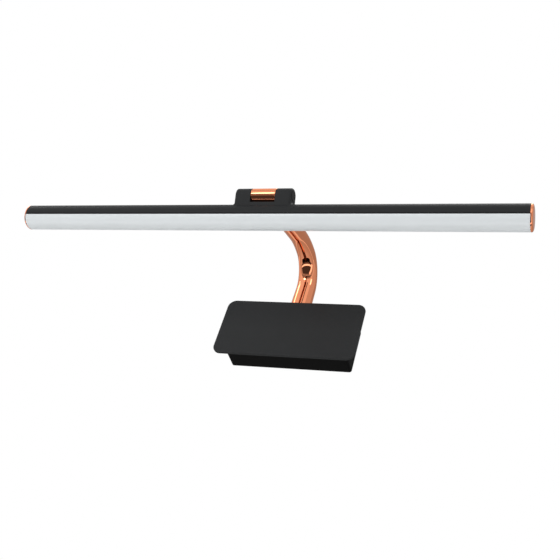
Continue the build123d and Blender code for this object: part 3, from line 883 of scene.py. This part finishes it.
# ---- hinge block
@dataclass
class HingeBlock:
    """Black block on the lamp's back: two ears about the barrel, a web between them, and two plugs."""

    lamp: LampFrame
    running_gap: float = 0.15 * MM
    half_width: float = 7.5 * MM
    corner: float = 1.9 * MM
    foot_flare: float = 2.2 * MM
    inner_edge: float = 0.25 * MM
    pocket_radius: float = 5.5 * MM
    pocket_depth: float = 3.0 * MM
    bore_radius: float = 3.55 * MM
    web_rise: float = 1.0 * MM
    web_foot: float = 0.7
    web_overlap: float = 0.2 * MM
    plug_depth: float = 1.8 * MM
    plug_rim: float = 0.9 * MM
    plug_dish: float = 0.3 * MM
    plug_edge: float = 0.2 * MM

    @property
    def ear_inner(self) -> float:
        """Place of the ears' inner faces, beside the barrel's ends."""
        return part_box("hinge_barrel")[1].x + self.running_gap

    @property
    def ear_outer(self) -> float:
        """Place of the ears' end faces, above their flared feet."""
        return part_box("lamp_bracket")[1].x - self.foot_flare

    def section(self) -> np.ndarray:
        """Ear's section: up one side, over a half circle about the hinge, down the other side and
        back along the bar's surface."""
        drop, half, radius = self.lamp.drop, self.half_width, self.lamp.radius
        foot = math.sqrt(radius ** 2 - half ** 2)
        rising = np.linspace(foot, drop, 28, endpoint=False)
        over = np.linspace(math.pi, 0, 56)
        resting = np.linspace(math.asin(foot / radius), math.pi - math.asin(foot / radius), 40)[1:-1]
        return np.vstack([
            np.column_stack([np.full_like(rising, -half), rising]),
            np.column_stack([half * np.cos(over), drop + half * np.sin(over)]),
            np.column_stack([np.full_like(rising, half), rising[::-1]]),
            np.column_stack([radius * np.cos(resting), radius * np.sin(resting)])])

    def flare(self, back: np.ndarray, up: np.ndarray) -> np.ndarray:
        """How far the ear's end stands out at a point: a quarter circle that grows from nothing at
        the flare's height above the bar to the whole flare on the bar's surface."""
        above = np.sqrt(back ** 2 + up ** 2) - self.lamp.radius
        share = np.clip(1 - above / self.foot_flare, 0, 1)
        return self.foot_flare * (1 - np.sqrt(1 - share ** 2))

    def ear(self, side: int) -> Shell:
        """One ear as rings: along its skin, round its outer corner, in over its end face to the
        plug's pocket, through the bore, and out over its inner face.

        A ring is the section drawn in by an inset, or its blend into a circle about the hinge.

        Args:
            side: 1 for the right ear, -1 for the left.

        Returns:
            Closed surface.
        """
        loop, drop, half = self.section(), self.lamp.drop, self.half_width
        back, up = loop[:, 0], loop[:, 1]
        turn = np.arctan2(up - drop, back)

        def drawn_in(inset: float) -> tuple[np.ndarray, np.ndarray]:
            """Section with its sides and its top moved in by the inset."""
            keep = (half - inset) / half
            return back * keep, np.where(up > drop, drop + (up - drop) * keep, up)

        def blended(inset: float, radius: float, share: float) -> tuple[np.ndarray, np.ndarray]:
            """Section that has gone a share of the way to a circle about the hinge."""
            start_back, start_up = drawn_in(inset)
            return (start_back + (radius * np.cos(turn) - start_back) * share,
                    start_up + (drop + radius * np.sin(turn) - start_up) * share)

        rings: list[tuple[np.ndarray, np.ndarray, np.ndarray]] = []

        def add_ring(place: tuple[np.ndarray, np.ndarray], along: float, flared: bool) -> None:
            """Add a ring at a distance along the hinge, following the flare or not."""
            extra = self.flare(*place) if flared else 0.0
            rings.append((*place, along + extra + np.zeros_like(back)))

        for along in np.linspace(self.ear_inner + self.inner_edge, self.ear_outer - self.corner - MM, 6):
            add_ring(drawn_in(0), float(along), False)
        for angle in np.linspace(0, math.pi / 2, 9):
            inset = self.corner * (1 - math.cos(angle))
            add_ring(drawn_in(inset), self.ear_outer - self.corner * (1 - math.sin(angle)), True)
        for share in np.linspace(0, 1, 18)[1:]:
            add_ring(blended(self.corner, self.pocket_radius, float(share)), self.ear_outer, True)
        floor = self.ear_outer - self.pocket_depth
        add_ring(blended(0, self.pocket_radius, 1), floor, False)
        add_ring(blended(0, self.bore_radius, 1), floor, False)
        add_ring(blended(0, self.bore_radius, 1), self.ear_inner, False)
        add_ring(drawn_in(self.inner_edge), self.ear_inner, False)
        backs, ups, alongs = (np.array(part) for part in zip(*rings))
        return Shell(self.lamp.place(backs, ups, side * alongs), loop_rows=True)

    def web(self) -> Shell:
        """Web under the barrel's front half, carried from ear to ear."""
        half, top = self.half_width, self.lamp.radius + self.web_rise
        outline = rounded([(0, self.lamp.radius - MM, 0), (0, top, 0.3 * MM), (-half, top, 0.4 * MM),
                           (-half, self.lamp.radius * self.web_foot, 0)])
        reach = self.ear_inner + self.web_overlap
        return self.lamp.carry(outline, np.array([-reach, reach]))

    def plugs(self) -> Object:
        """Turn the plugs: a thin rim round a shallow dish."""
        low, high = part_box("ear_plugs")
        radius, face = (high.z - low.z) / 2, high.x
        bottom, dish, soft = face - self.plug_depth, face - self.plug_dish, self.plug_edge
        profile = rounded([
            (bottom, 0, 0), (bottom, radius, soft), (face, radius, 2 * soft),
            (face, radius - self.plug_rim, soft), (dish, radius - self.plug_rim - 2 * soft, soft),
            (dish, 0, 0)])
        return make_piece("hinge_plugs", [
            lathe(profile, self.lamp.hinge, (float(side), 0.0, 0.0), 72) for side in (-1, 1)])

    def build(self) -> list[Object]:
        """Build and dress the block and its plugs.

        Returns:
            The pieces.
        """
        body = Body.LAMP.value
        block = make_piece("hinge_block", [self.ear(-1), self.ear(1), self.web()], 30)
        return [stand_in(block, body, Slot.BLACK_ALUMINIUM, "lamp_bracket"),
                # The plugs' near-black finish is partly real black polyamide and partly painted shade of the
                # ears' end faces.
                stand_in(self.plugs(), body, Slot.BLACK_CAP, "ear_plugs")]


# ---- lamp bar
@dataclass
class LampBar:
    """Round lamp bar: black half-round back, opal half-round front and two copper caps."""

    lamp: LampFrame
    cap_band: float = 0.5 * MM
    cap_edge: float = 3.6 * MM
    spigot_length: float = 3.0 * MM
    spigot_slip: float = 0.2 * MM
    housing_wall: float = 1.6 * MM
    diffuser_wall: float = 1.2 * MM
    groove_height: float = 1.1 * MM
    groove_depth: float = 0.7 * MM
    lip_edge: float = 0.12 * MM
    seam: float = 0.06 * MM
    arc_points: int = 96

    @property
    def stations(self) -> np.ndarray:
        """Places along the bar at which its sections stand."""
        low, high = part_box("lamp_housing")
        return np.linspace(low.x, high.x, 26)

    def housing(self) -> Object:
        """Build the back: a half-round wall whose lower edges step in, which leaves a dark line
        above the diffuser."""
        radius = self.lamp.radius
        inner, waist = radius - self.housing_wall, radius - self.groove_depth
        start = math.asin(self.groove_height / radius)
        outer_turn = np.linspace(start, math.pi - start, self.arc_points)
        inner_turn = np.linspace(math.pi, 0, self.arc_points)
        lip, edge, side = self.groove_height, self.lip_edge, radius * math.cos(start)
        left = rounded([(-side, lip, 0), (-waist, lip, edge), (-waist, 0, 0)])
        right = rounded([(waist, 0, 0), (waist, lip, edge), (side, lip, 0)])
        outline = np.vstack([
            np.column_stack([radius * np.cos(outer_turn), radius * np.sin(outer_turn)]), left[1:],
            np.column_stack([inner * np.cos(inner_turn), inner * np.sin(inner_turn)]), right[:-1]])
        return make_piece("lamp_back", [self.lamp.carry(outline, self.stations)])

    def diffuser(self) -> Object:
        """Build the opal half-round: two arcs joined by rounded upper edges."""
        outer, inner = self.lamp.radius - self.seam, self.lamp.radius - self.diffuser_wall
        edge, middle = (outer - inner) / 2, (outer + inner) / 2
        tilt = math.asin((edge + self.seam) / middle)
        arc_turn = np.linspace(math.pi + tilt, 2 * math.pi - tilt, self.arc_points)
        rim_turn = np.linspace(0, math.pi, 10)[1:-1]
        right = middle * np.array((math.cos(tilt), -math.sin(tilt)))
        left = right * (-1, 1)
        rim = np.column_stack([np.cos(rim_turn), np.sin(rim_turn)]) * edge
        arc = np.column_stack([np.cos(arc_turn), np.sin(arc_turn)])
        outline = np.vstack([outer * arc, right + rim, inner * arc[::-1], left + rim])
        return make_piece("lamp_diffuser", [self.lamp.carry(outline, self.stations)])

    def end_cap(self, name: str, node: str, side: int) -> Object:
        """Turn one cap: a narrow band, a quarter ellipse over to its face, and a spigot in the bar.

        Args:
            name: Name of the piece.
            node: CAD node that it stands for.
            side: 1 for the right end, -1 for the left.

        Returns:
            The cap.
        """
        radius = self.lamp.radius
        joint = max(side * place for place in self.stations)
        face = max(side * corner.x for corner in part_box(node))
        start, edge = joint - self.spigot_length, joint + self.cap_band
        spigot = radius - self.housing_wall - self.spigot_slip
        plug = rounded([(start, 0, 0), (start, spigot, 0.4 * MM), (joint, spigot, 0.05 * MM),
                        (joint, radius, 0.15 * MM), (edge, radius, 0), (joint, 0, 0)], 8)[:-1]
        turn = np.linspace(0, math.pi / 2, 18)[1:]
        dome = np.column_stack([edge + (face - edge) * np.sin(turn),
                                radius - self.cap_edge * (1 - np.cos(turn))])
        profile = np.vstack([plug, dome, [(face, 0)]])
        return make_piece(name, [lathe(profile, self.lamp.axis, (float(side), 0.0, 0.0), 160)])

    def build(self) -> list[Object]:
        """Build and dress the bar.

        Returns:
            The pieces.
        """
        body = Body.LAMP.value
        return [
            stand_in(self.housing(), body, Slot.BLACK_ALUMINIUM, "lamp_housing"),
            stand_in(self.diffuser(), body, Slot.OPAL, "diffuser"),
            stand_in(self.end_cap("cap_left", "left_end_cap", -1), body, Slot.COPPER, "left_end_cap"),
            stand_in(self.end_cap("cap_right", "right_end_cap", 1), body, Slot.COPPER, "right_end_cap")]


# ---- pieces kept from the frame
class Insides:
    """Pieces that keep their CAD shape and take their record slot's finish."""

    def build(self) -> list[Object]:
        """Dress every CAD node that still shows.

        Returns:
            The dressed nodes.
        """
        slots = {part["node"]: Slot(part["material_slot"]) for part in frame["record"]["subparts"]}
        shown = [node for node in frame["nodes"].values() if not node.hide_render]
        for node in shown:
            dress(node, FINISHES[slots[node["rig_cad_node"]]])
        return shown


# ---- studio
@dataclass(frozen=True)
class Softbox:
    """A square soft light that faces the object."""

    name: str
    location: tuple[float, float, float]
    size: float
    power: float

    def build(self, target: Vector) -> None:
        """Make the light and turn it to the target."""
        lamp = bpy.data.lights.new(self.name, "AREA")
        lamp.shape, lamp.size, lamp.energy = "SQUARE", self.size, self.power
        light = link_object(self.name, lamp)
        light.location = self.location
        light.rotation_euler = (target - light.location).to_track_quat("-Z", "Y").to_euler()


@dataclass(frozen=True)
class Card:
    """A plain card out of the camera's sight, which only polished surfaces mirror."""

    name: str
    location: tuple[float, float, float]
    width: float
    height: float
    level: float

    def build(self, target: Vector) -> None:
        """Make the card, turn it to the target and leave it out of shadows."""
        card = plane(self.name, self.width, self.height)
        card.location = self.location
        card.rotation_euler = (target - card.location).to_track_quat("-Z", "Y").to_euler()
        card.visible_camera = card.visible_shadow = card.visible_diffuse = False
        paint = bpy.data.materials.new(self.name)
        tree = empty_tree(paint)
        glow = add_node(tree, "ShaderNodeEmission", inputs={
            "Color": (self.level, self.level, self.level, 1), "Strength": 1.0})
        add_node(tree, "ShaderNodeOutputMaterial", inputs={"Surface": glow.outputs["Emission"]})
        card.data.materials.append(paint)


@dataclass
class Studio:
    """White surroundings, a pale floor, soft lights, and a camera below and to the right."""

    camera_place: tuple[float, float, float] = (0.31866, -0.74024, -0.54855)
    camera_azimuth: float = 26.07
    camera_elevation: float = -38.017
    camera_roll: float = 18.24
    lens: float = 59.02
    floor_level: float = -1.1
    floor_size: float = 24.0
    fill: float = 0.54
    softboxes: tuple[Softbox, ...] = (
        Softbox("key_softbox", (-2.2, -0.2, 1.7), 1.2, 20.0),
        Softbox("fill_softbox", (1.9, -1.0, 0.9), 1.0, 8.0),
        Softbox("top_softbox", (0.0, 0.2, 2.2), 1.2, 14.0),
        Softbox("front_softbox", (-0.7, -2.1, -0.05), 0.7, 14.0))
    cards: tuple[Card, ...] = (
        Card("back_card", (0.2, 1.6, 1.0), 5.6, 2.2, 0.46),
        Card("right_card", (1.8, 0.0, 0.9), 2.0, 1.8, 0.68),
        Card("left_card", (-1.9, 0.3, 0.7), 1.4, 1.6, 0.80),
        Card("front_card", (0.0, -1.8, -0.55), 4.4, 1.2, 0.32),
        Card("under_card", (0.0, -0.2, -1.05), 5.0, 5.0, 0.07),
        Card("under_gleam", (-0.006, -0.15, -1.0), 4.4, 0.20, 2.0),
        Card("side_gleam", (1.02, -0.46, -0.52), 1.3, 0.30, 1.8),
        Card("gap_strip", (-0.66, -1.25, 1.47), 0.6, 0.16, 0.04),
        Card("left_strip", (-0.30, -1.50, 1.22), 0.2, 1.1, 0.03),
        Card("right_strip", (0.51, -1.46, 1.22), 0.2, 1.1, 0.03))

    def camera(self) -> None:
        """Place the camera and turn it by azimuth, elevation and roll."""
        camera = link_object("camera", bpy.data.cameras.new("camera"))
        camera.data.lens, camera.data.sensor_width = self.lens, 36.0
        camera.data.clip_start, camera.data.clip_end = 0.01, 60.0
        azimuth, elevation = math.radians(self.camera_azimuth), math.radians(self.camera_elevation)
        ahead = Vector((-math.sin(azimuth) * math.cos(elevation), math.cos(azimuth) * math.cos(elevation),
                        -math.sin(elevation)))
        camera.location = self.camera_place
        camera.rotation_mode = "QUATERNION"
        roll = Quaternion((0, 0, 1), math.radians(self.camera_roll))
        camera.rotation_quaternion = ahead.to_track_quat("-Z", "Y") @ roll
        bpy.context.scene.camera = camera

    def world(self) -> None:
        """White where it is seen or mirrored, a plain grey level where it lights."""
        world = bpy.data.worlds.new("studio")
        bpy.context.scene.world = world
        tree = empty_tree(world)
        path = add_node(tree, "ShaderNodeLightPath").outputs
        seen = path["Is Camera Ray"]
        for ray in ("Is Glossy Ray", "Is Transmission Ray"):
            either = add_node(tree, "ShaderNodeMath", {"operation": "MAXIMUM"}, {0: seen, 1: path[ray]})
            seen = either.outputs["Value"]
        level, white = (
            add_node(tree, "ShaderNodeBackground", inputs={"Color": (1, 1, 1, 1), "Strength": strength})
            .outputs["Background"] for strength in (self.fill, 1.0))
        mix = add_node(tree, "ShaderNodeMixShader", inputs={0: seen, 1: level, 2: white})
        add_node(tree, "ShaderNodeOutputWorld", inputs={"Surface": mix.outputs["Shader"]})

    def floor(self) -> None:
        """Lay a pale, matt floor well below the light."""
        floor = plane("floor", self.floor_size, self.floor_size, self.floor_level)
        dress(floor, FLOOR_FINISH)

    def build(self) -> None:
        """Set up the camera, the surroundings and the lights."""
        self.camera()
        self.world()
        self.floor()
        low, high = CAD_BOX
        for fitting in (*self.softboxes, *self.cards):
            fitting.build((low + high) / 2)
        bpy.context.scene.view_settings.view_transform = "Standard"


def main() -> None:
    """Build the studio and every sub-assembly in order, and report each piece."""
    logging.basicConfig(level=logging.INFO, format="%(message)s")
    Studio().build()
    lamp = LampFrame.read()
    for assembly in (WallBox(), Arm(lamp), HingeBlock(lamp), LampBar(lamp), Insides()):
        for piece in assembly.build():
            LOG.info("%s: %s, %d faces", type(assembly).__name__, piece.name, len(piece.data.polygons))


if __name__ == "__main__":
    main()
